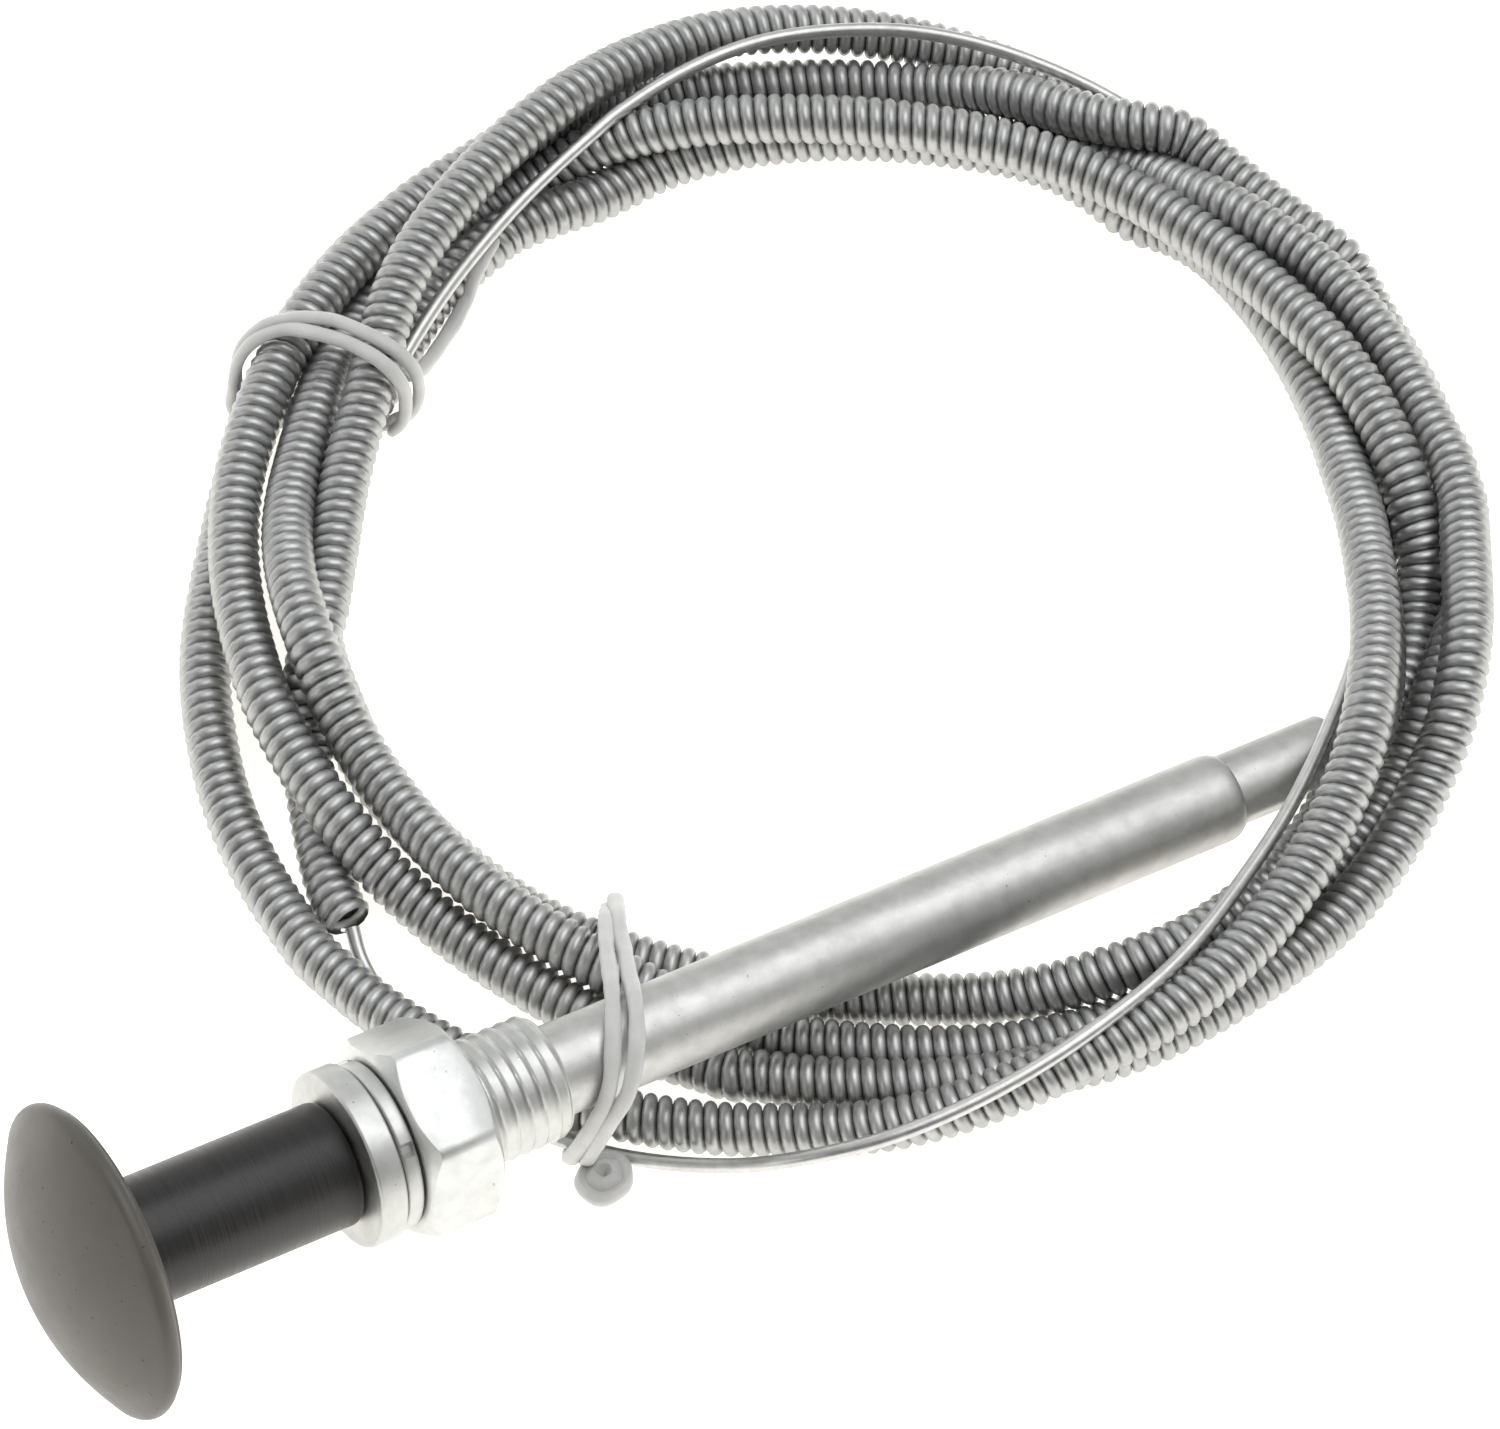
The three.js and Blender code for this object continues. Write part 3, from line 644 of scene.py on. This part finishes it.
# ---------------------------------------------------------------- conduit and bare wire
def wound(path, profile, pitch, sides):
    """(points, faces, depth) of a close spiral winding along a path. profile holds (share of the
    pitch, radius) from one groove to the next; each face row climbs one pitch in a turn."""
    across, upward = carried_frames(path)
    run = np.concatenate([[0], np.cumsum(np.linalg.norm(np.diff(path, axis=0), axis=1))])
    turns = int(run[-1] / pitch)
    share, radius = np.array(profile).T
    n = np.arange(turns * sides + 1)
    s = np.clip(pitch * (n[:, None] / sides + share - 1), 0, run[-1])
    turn = n[:, None] * 2 * math.pi / sides + np.zeros_like(s)

    def at(values):
        return np.stack([np.interp(s, run, values[:, k]) for k in range(3)], -1)

    ring = at(across) * np.cos(turn)[..., None] + at(upward) * np.sin(turn)[..., None]
    ring /= np.linalg.norm(ring, axis=-1)[..., None]
    points = (at(path) + ring * radius[None, :, None]).reshape(-1, 3)
    depth = np.broadcast_to((radius.max() - radius) / (radius.max() - radius.min()), s.shape)
    columns = len(share)
    first = np.arange(turns * sides)[:, None] * columns
    faces = []
    for i in range(columns):
        a = first + i
        b = a + columns
        if i + 1 < columns:
            c, d = b + 1, a + 1
            quads = np.hstack([a, b, c, d])
        else:
            d = first + sides * columns
            quads = np.hstack([a, b, d + columns, d])[: (turns - 1) * sides]
        faces += quads.tolist()
    return points, faces, depth.reshape(-1)


WOUND_PROFILE = [(0.0, 2.6), (0.07, 3.22), (0.26, 3.62), (0.5, 3.76), (0.74, 3.62), (0.93, 3.22)]
line = along(strand, 0.5)
conduit_points, conduit_faces, groove = wound(line, WOUND_PROFILE, CONDUIT_PITCH, 13)
conduit = make_object("conduit", conduit_points, conduit_faces, CONDUIT, sharp=180)
depth = conduit.data.attributes.new("depth", "FLOAT", "POINT")
depth.data.foreach_set("value", groove.astype(np.float32))
finished(conduit, "root", "conduit", "conduit_coil")

wire_line = along(free_wire, 1.0)
bare_wire = make_object("bare_wire_round", *swept(wire_line, WIRE_RADIUS, 16), WIRE, sharp=60)
finished(bare_wire, "root", "wire", "bare_wire")


# ---------------------------------------------------------------- knob and stem
def knob_cap():
    dome = [(-DOME_HEIGHT + 6.6 * (r / 20.6) ** 2.2, r) for r in np.linspace(0, 20.4, 30)]
    profile = dome + arc((-0.9, 20.2), 1.6, 135, 20, 9) + [
        (0.95, 20.6), (0.9, 14), (1.0, 9.4), (1.0, 6.3), (-4.6, 6.3), (-4.6, 0)]
    return turned(profile, 128)


def knob_stem():
    profile = [(-4.3, 3.5), (-4.3, 6), (1.3, 6), (1.3, STEM_RADIUS + 0.1), (3, STEM_RADIUS + 0.05),
               (33.9, STEM_RADIUS), (34.4, STEM_RADIUS - 0.12), (34.8, STEM_RADIUS - 0.45),
               (34.9, STEM_RADIUS - 0.9), (34.9, ROD_RADIUS + 0.3), (16.3, ROD_RADIUS + 0.3),
               (16.3, 5.3), (1.5, 5.3), (1.5, 3.5), (-4.3, 3.5)]
    return turned(profile, 96)


def pull_rod():
    profile = [(2, 0), (2, 2.8), (2.4, ROD_RADIUS), (148.5, ROD_RADIUS), (149, 2.7), (149, 1.35),
               (137, 1.35), (137, 0)]
    return turned(profile, 64)


finished(make_object("knob_cap_round", *knob_cap(), CAP, CONTROL), "knob", "black_cap", "knob_cap")
finished(make_object("knob_stem_round", *knob_stem(), STEM, CONTROL), "knob", "black_stem", "knob_stem")
finished(make_object("pull_rod_round", *pull_rod(), STEEL, CONTROL), "knob", "steel", "pull_rod")


# ---------------------------------------------------------------- bushing, washer and nut
def bushing():
    """The flange with its countersunk mouth, and the barrel with a rolled right-hand thread."""
    root = THREAD_RADIUS - 0.3
    flange = turned([
        (FLANGE_FRONT + 0.6, 6.1), (FLANGE_FRONT, 6.8), (FLANGE_FRONT, FLANGE_RADIUS - 0.45),
        *arc((FLANGE_FRONT + 0.45, FLANGE_RADIUS - 0.45), 0.45, 170, 100, 4),
        (FLANGE_FRONT + 0.45, FLANGE_RADIUS), (FLANGE_REAR - 0.3, FLANGE_RADIUS),
        (FLANGE_REAR, FLANGE_RADIUS - 0.3), (FLANGE_REAR, root - 0.05),
        (BARREL_END - 1.2, root - 0.05), (BARREL_END, root - 0.4), (BARREL_END, 6.65),
        (49.7, 6.65), (49.7, 5.2), (36.5, 5.2), (FLANGE_FRONT + 0.6, 6.1)], 96)
    sides, rows = 96, 14 * 12
    stations = np.linspace(FLANGE_REAR - 0.2, BARREL_END - 0.02, rows)
    angles = np.arange(sides) * 2 * math.pi / sides
    s, turn = np.meshgrid(stations, angles, indexing="ij")
    share = ((s - FLANGE_REAR) / THREAD_PITCH - turn / (2 * math.pi)) % 1
    crest = np.exp(-(((share - 0.5) / 0.11) ** 2))
    radius = root + 0.22 * crest
    radius = np.minimum(radius, THREAD_RADIUS - np.clip((s - (BARREL_END - 1.1)) * 0.75, 0, 1))
    skin = np.stack([s, radius * np.cos(turn), radius * np.sin(turn)], -1).reshape(-1, 3)
    return joined(flange, (skin, grid_faces(rows, sides)))


def lock_washer():
    """A flat ring with rounded edges and four slots across its rim."""
    def slotted(station, radius, angle):
        near = min(abs((angle - math.radians(a) + math.pi) % (2 * math.pi) - math.pi)
                   for a in (43 + 90 * k for k in range(4)))
        if radius > 11 and near < 0.06 and 39.9 < station < 41.6:
            return radius - 0.9
        return radius
    profile = [(WASHER_FRONT, 9.2), (WASHER_FRONT, WASHER_RADIUS - 0.5),
               *arc((WASHER_FRONT + 0.5, WASHER_RADIUS - 0.5), 0.5, 165, 90, 4),
               (40.6, WASHER_RADIUS + 0.02), (41.0, WASHER_RADIUS + 0.02),
               *arc((WASHER_REAR - 0.5, WASHER_RADIUS - 0.5), 0.5, 80, 5, 4),
               (WASHER_REAR, 9.2), (WASHER_FRONT, 9.2)]
    return turned(profile, 144, slotted)


def hex_radius(angle):
    """Distance from the axis to the nut's side at an angle, with softened corners."""
    turn = math.radians(-9.5)
    step = math.pi / 3
    off = (angle - turn + step / 2) % step - step / 2
    sharp = NUT_FLATS / 2 / math.cos(off)
    corner = NUT_FLATS / math.sqrt(3)
    return min(sharp, corner - 0.35)


def hex_nut():
    """Flats cut by a wide chamfering cone at both ends, and a plain round bore."""
    face, slope = NUT_FLATS / 2 - 0.5, 1.9
    corner = NUT_FLATS / math.sqrt(3)
    sides = 180
    angles = np.arange(sides) * 2 * math.pi / sides
    edge = np.array([hex_radius(a) for a in angles])
    rise = slope * (edge - face) / (corner - face)
    rows = [
        (NUT_FRONT + 0.5, 9.2), (NUT_FRONT, 9.7), (NUT_FRONT, face - 0.25), (NUT_FRONT + 0.08, face),
        (NUT_FRONT + rise * 0.5, face + (edge - face) * 0.5), (NUT_FRONT + rise, edge - 0.05),
        (NUT_FRONT + rise + 0.12, edge), (NUT_REAR - rise - 0.12, edge), (NUT_REAR - rise, edge - 0.05),
        (NUT_REAR - rise * 0.5, face + (edge - face) * 0.5), (NUT_REAR - 0.08, face),
        (NUT_REAR, face - 0.25), (NUT_REAR, 9.7), (NUT_REAR - 0.5, 9.2),
    ]
    points = [np.stack([np.broadcast_to(s, sides), r * np.cos(angles), r * np.sin(angles)], -1)
              for s, r in rows]
    return np.vstack(points), grid_faces(len(rows), sides, closed_rows=True)


finished(make_object("bushing_turned", *bushing(), ZINC, CONTROL), "root", "zinc", "bushing")
finished(make_object("lock_washer_round", *lock_washer(), ZINC, CONTROL),
         "washer", "zinc", "lock_washer")
finished(make_object("hex_nut_chamfered", *hex_nut(), NUT_ZINC, CONTROL, sharp=24),
         "nut", "zinc", "hex_nut")


# ---------------------------------------------------------------- guide tube
def guide_tube():
    """A plain tube with a rounded shoulder and a neck that is pressed flat in three places."""
    bore = TUBE_RADIUS - 0.85

    def pressed(s, radius, angle):
        if s < NECK_START + 2.6 or radius < 4.4:
            return radius
        share = min(1, (s - NECK_START - 2.6) / 0.9)
        bearing = math.degrees(angle) % 360
        r = radius
        for middle, deep in ((25, 0.3), (205, 1.0), (318, 0.7)):
            off = math.radians((bearing - middle + 180) % 360 - 180)
            if abs(off) < 0.6:
                r = min(r, (radius - deep) / math.cos(off))
        return radius + (r - radius) * share

    drop = TUBE_RADIUS - NECK_RADIUS
    shoulder = [(NECK_START + 2.4 * t, NECK_RADIUS + drop * math.sqrt(1 - t * t))
                for t in np.linspace(0, 1, 9)]
    neck = [(s, NECK_RADIUS) for s in np.linspace(NECK_START + 2.7, TUBE_END - 1.6, 24)]
    lip = arc((TUBE_END - 1.2, NECK_RADIUS - 1.2), 1.2, 90, 0, 7)
    profile = [(TUBE_FRONT, bore), (TUBE_FRONT, TUBE_RADIUS), *shoulder, *neck, *lip,
               (TUBE_END, 3.75), (NECK_START + 3.2, 3.75), (NECK_START - 0.5, bore), (TUBE_FRONT, bore)]
    return turned(profile, 120, pressed)


finished(make_object("guide_tube_swaged", *guide_tube(), TUBE, CONTROL),
         "root", "zinc_tube", "guide_tube")


# ---------------------------------------------------------------- ties
# Each tie is a soft cord that goes twice round the bundle. Its points are (distance outwards from
# a point inside the coil, height above the table, step along the coil), in millimetres.
LEFT_TIE = [
    (3.5, 1.3, 2), (1.5, 4.5, 2.5), (0.8, 9, 3), (0.9, 13.6, 3.2), (2, 16.4, 3.1), (4.3, 18.2, 2.2),
    (7.4, 18.6, 0.7), (10.7, 18.2, -0.9), (14.4, 17.5, -2.2), (17.9, 16.9, -3.1), (21.1, 16.1, -3),
    (23.6, 14.6, -2), (25.4, 12, -1), (26.4, 8, 0), (26.2, 4, 1), (24, 1.3, 1.3), (16, 1.3, 0.5),
    (8, 1.3, -0.3), (2, 1.5, -0.8), (0, 4.5, -0.9), (-0.6, 9, -0.9), (0, 13.6, -0.6),
    (1.8, 16.8, -0.5), (4.5, 18.7, -1), (7.8, 19, -2.3), (11.4, 18.4, -4.1), (14.8, 17.6, -5),
    (17.7, 17.1, -5.1), (20.5, 16.6, -4.5), (22.9, 15.3, -3.7), (25.2, 12.5, -3), (26.4, 8, -2.2),
    (26.2, 4, -1.6), (24, 1.3, -1.6), (16, 1.3, -2), (7, 1.3, -2.5),
]
RIGHT_TIE = [
    (-1.4, 5.5, -0.9), (4, 11.7, -0.4), (9.1, 16.9, 0.2), (12.9, 19.2, 0.8), (16.9, 21.8, 1.5),
    (23.8, 26.2, 3.1), (29.7, 29.2, 4.3), (32.9, 29.5, 4.9), (37, 28.3, 5.4), (39.5, 26.3, 5.6),
    (41.4, 23, 5.1), (42.1, 18.9, 3.9), (42, 13.9, 2.2), (40.4, 6.7, 0.1), (37.5, 1.5, -0.8),
    (28, 1.3, -1), (12, 1.3, -1), (2, 1.4, -0.8), (-1.2, 3.4, -0.7), (-1.6, 6, -0.6),
    (2.8, 11.3, 0.3), (7.6, 16, 1.5), (12.2, 18.7, 2.6), (16.3, 21.4, 3.8), (23.2, 25.8, 5.5),
    (29.1, 29, 7.2), (32.7, 29.5, 8), (36.1, 28.9, 8.5), (38.8, 26.9, 8.5), (40.8, 24.2, 8),
    (41.8, 21.9, 7), (42.2, 18.1, 5.4), (41.9, 13.2, 3.9), (40.2, 6.2, 2.2), (37.5, 1.5, 1.6),
    (28, 1.3, 1.2), (12, 1.3, 1), (4, 1.4, 0.6),
]
# The left tie's loose end: (bearing, distance, height), as for the lay of the cable.
LEFT_TAIL = [
    (122, 69.6, 9), (119.5, 69.2, 7), (116.5, 69.8, 5), (112.5, 70.8, 4), (109, 71.8, 4),
    (106, 73, 5), (104.3, 73.6, 7), (102, 74.6, 8.3), (100.6, 75.4, 8.5), (99.3, 76.3, 8.5),
]


def round_bundle(middle, bearing, turns):
    """A tie's path from its points, outwards along the bearing from a point near the coil."""
    out = np.array([math.cos(math.radians(bearing)), math.sin(math.radians(bearing)), 0])
    aside = np.array([-out[1], out[0], 0])
    return along([COIL_CENTRE + (*middle, 0) + u * out + w * aside + (0, 0, z) for u, z, w in turns], 0.7)


def drape(path, rounds=40):
    """Draws a tie snug on what it goes round, without sinking into it or into itself."""
    x = path.copy()
    solids = [(along(strand, 0.8), CONDUIT_RADIUS), (along(free_wire, 0.8), WIRE_RADIUS),
              (np.array([station(s) for s in np.arange(TUBE_FRONT, TUBE_END, 0.8)]), TUBE_RADIUS)]
    solids = [(p[np.abs(p - x.mean(0)).max(1) < 45], r) for p, r in solids]
    solids = [(p, r) for p, r in solids if len(p)]
    index = np.arange(len(x))
    for turn in range(rounds):
        x[1:-1] += 0.15 * (x[:-2] + x[2:] - 2 * x[1:-1])
        x += 0.12 * (path - x)
        for points, radius in solids:
            for _ in range(2):
                away = x[:, None] - points[None]
                distance = np.linalg.norm(away, axis=2)
                near = distance.argmin(1)
                gap = distance[index, near]
                need = radius + 0.8 * TIE_RADIUS
                push = np.clip(need - gap, 0, 1.5) / np.maximum(gap, 0.1)
                x += away[index, near] * push[:, None]
        apart = x[:, None] - x[None]
        distance = np.linalg.norm(apart, axis=2) + 9 * (np.abs(index[:, None] - index) < 16)
        near = distance.argmin(1)
        gap = distance[index, near]
        push = np.clip(1.5 * TIE_RADIUS - gap, 0, 0.6) / 2 / np.maximum(gap, 0.1)
        x += apart[index, near] * push[:, None]
        x[:, 2] = np.maximum(x[:, 2], TIE_RADIUS)
    return along(x, 0.7)


def soft_cord(path, outward, sides=18):
    """(points, faces) of a tie, a little flattened against what it lies on, with blunt ends."""
    tangent = np.gradient(path, axis=0)
    tangent /= np.linalg.norm(tangent, axis=1)[:, None]
    outward = outward - tangent * (outward * tangent).sum(1)[:, None]
    outward /= np.linalg.norm(outward, axis=1)[:, None]
    across = np.cross(tangent, outward)
    run = np.arange(len(path))
    nearest = np.minimum(run, run[::-1])
    taper = np.sqrt(1 - (1 - np.clip((nearest + 0.4) / 2.4, 0, 1)) ** 2)
    pulse = 1 + 0.05 * np.sin(run * 0.31) + 0.03 * np.sin(run * 0.83 + 1)
    rows = []
    for angle in np.arange(sides) * 2 * math.pi / sides:
        wide, thick = math.cos(angle), math.sin(angle)
        wide, thick = (math.copysign(abs(v) ** 0.85, v) for v in (wide, thick))
        rows.append(path + across * (wide * TIE_RADIUS * pulse * taper)[:, None]
                    + outward * (thick * 0.8 * TIE_RADIUS / pulse * taper)[:, None])
    points = np.stack(rows, 1).reshape(-1, 3)
    faces = grid_faces(len(path), sides)
    last = (len(path) - 1) * sides
    faces += [tuple(range(sides - 1, -1, -1)), tuple(last + k for k in range(sides))]
    return points, faces


def tie(name, node, path):
    outward = path - path.mean(0)
    return finished(make_object(name, *soft_cord(path, outward), TIE), "root", "tie", node)


left_tie = tie("left_tie_cord", "left_tie", drape(round_bundle((-37, 56), 142.1, LEFT_TIE)))
right_tie = tie("right_tie_cord", "right_tie", drape(round_bundle((-57.6, -36), -129.1, RIGHT_TIE)))
tail_path = along([on_coil(*p) for p in LEFT_TAIL], 0.7)
tail_shape = soft_cord(tail_path, np.array([[0, 0, 1.0]] * len(tail_path)))
left_tail = finished(make_object("left_tail_cord", *tail_shape, TIE), "root", "tie", "left_tie_tail")


def knot():
    """A melted blob: a rolled rim round a ball with a dimple in its top."""
    angles = np.arange(40) * 2 * math.pi / 40
    rows = [(0, 0.5), (1.6, 0.5), (3.2, 0.9), (3.9, 1.8), (4.1, 2.6), (3.9, 3.4), (3.4, 3.9), (2.9, 3.75),
            (2.6, 3.6), (2.3, 4.0), (1.7, 4.6), (1.1, 4.7), (0.7, 4.2), (0.4, 3.4), (0, 3.1)]
    points = []
    for r, z in rows:
        wobble = 1 + 0.06 * np.sin(angles * 2 + 0.6) + 0.03 * np.sin(angles * 5)
        points.append(np.stack([r * wobble * np.cos(angles), r * wobble * np.sin(angles),
                                np.full(len(angles), z - 0.2)], -1))
    return np.vstack(points) + on_coil(221.4, 106.5, 0.1), grid_faces(len(rows), len(angles))


right_knot = finished(make_object("right_tie_end", *knot(), TIE), "root", "tie", "right_tie_knot")

# ---------------------------------------------------------------- pieces inside, kept from the CAD
for name, material in {
    "stem_insert": BRASS, "stop_collar": STEEL, "wire_ferrule": BRASS, "control_wire": STEEL,
    "guide_bush": NYLON, "friction_ring": RUBBER, "stop_sleeve": STEEL, "conduit_stop": STEEL,
    "conduit_entry": CONDUIT,
}.items():
    node = frame["nodes"][name]
    node.data.materials.clear()
    node.data.materials.append(material)


def add_floor():
    size = 6.0
    mesh = bpy.data.meshes.new("floor")
    corners = [(-size, -size, 0), (size, -size, 0), (size, size, 0), (-size, size, 0)]
    mesh.from_pydata(corners, [], [(0, 1, 2, 3)])
    f = Finish("floor", (0.92, 0.92, 0.915), 0, 0.6)
    f.put("Emission Color", (1.0, 0.96, 0.89, 1))
    f.put("Emission Strength", 0.85)
    mesh.materials.append(f.material)
    floor = bpy.data.objects.new("floor", mesh)
    bpy.context.scene.collection.objects.link(floor)


add_floor()
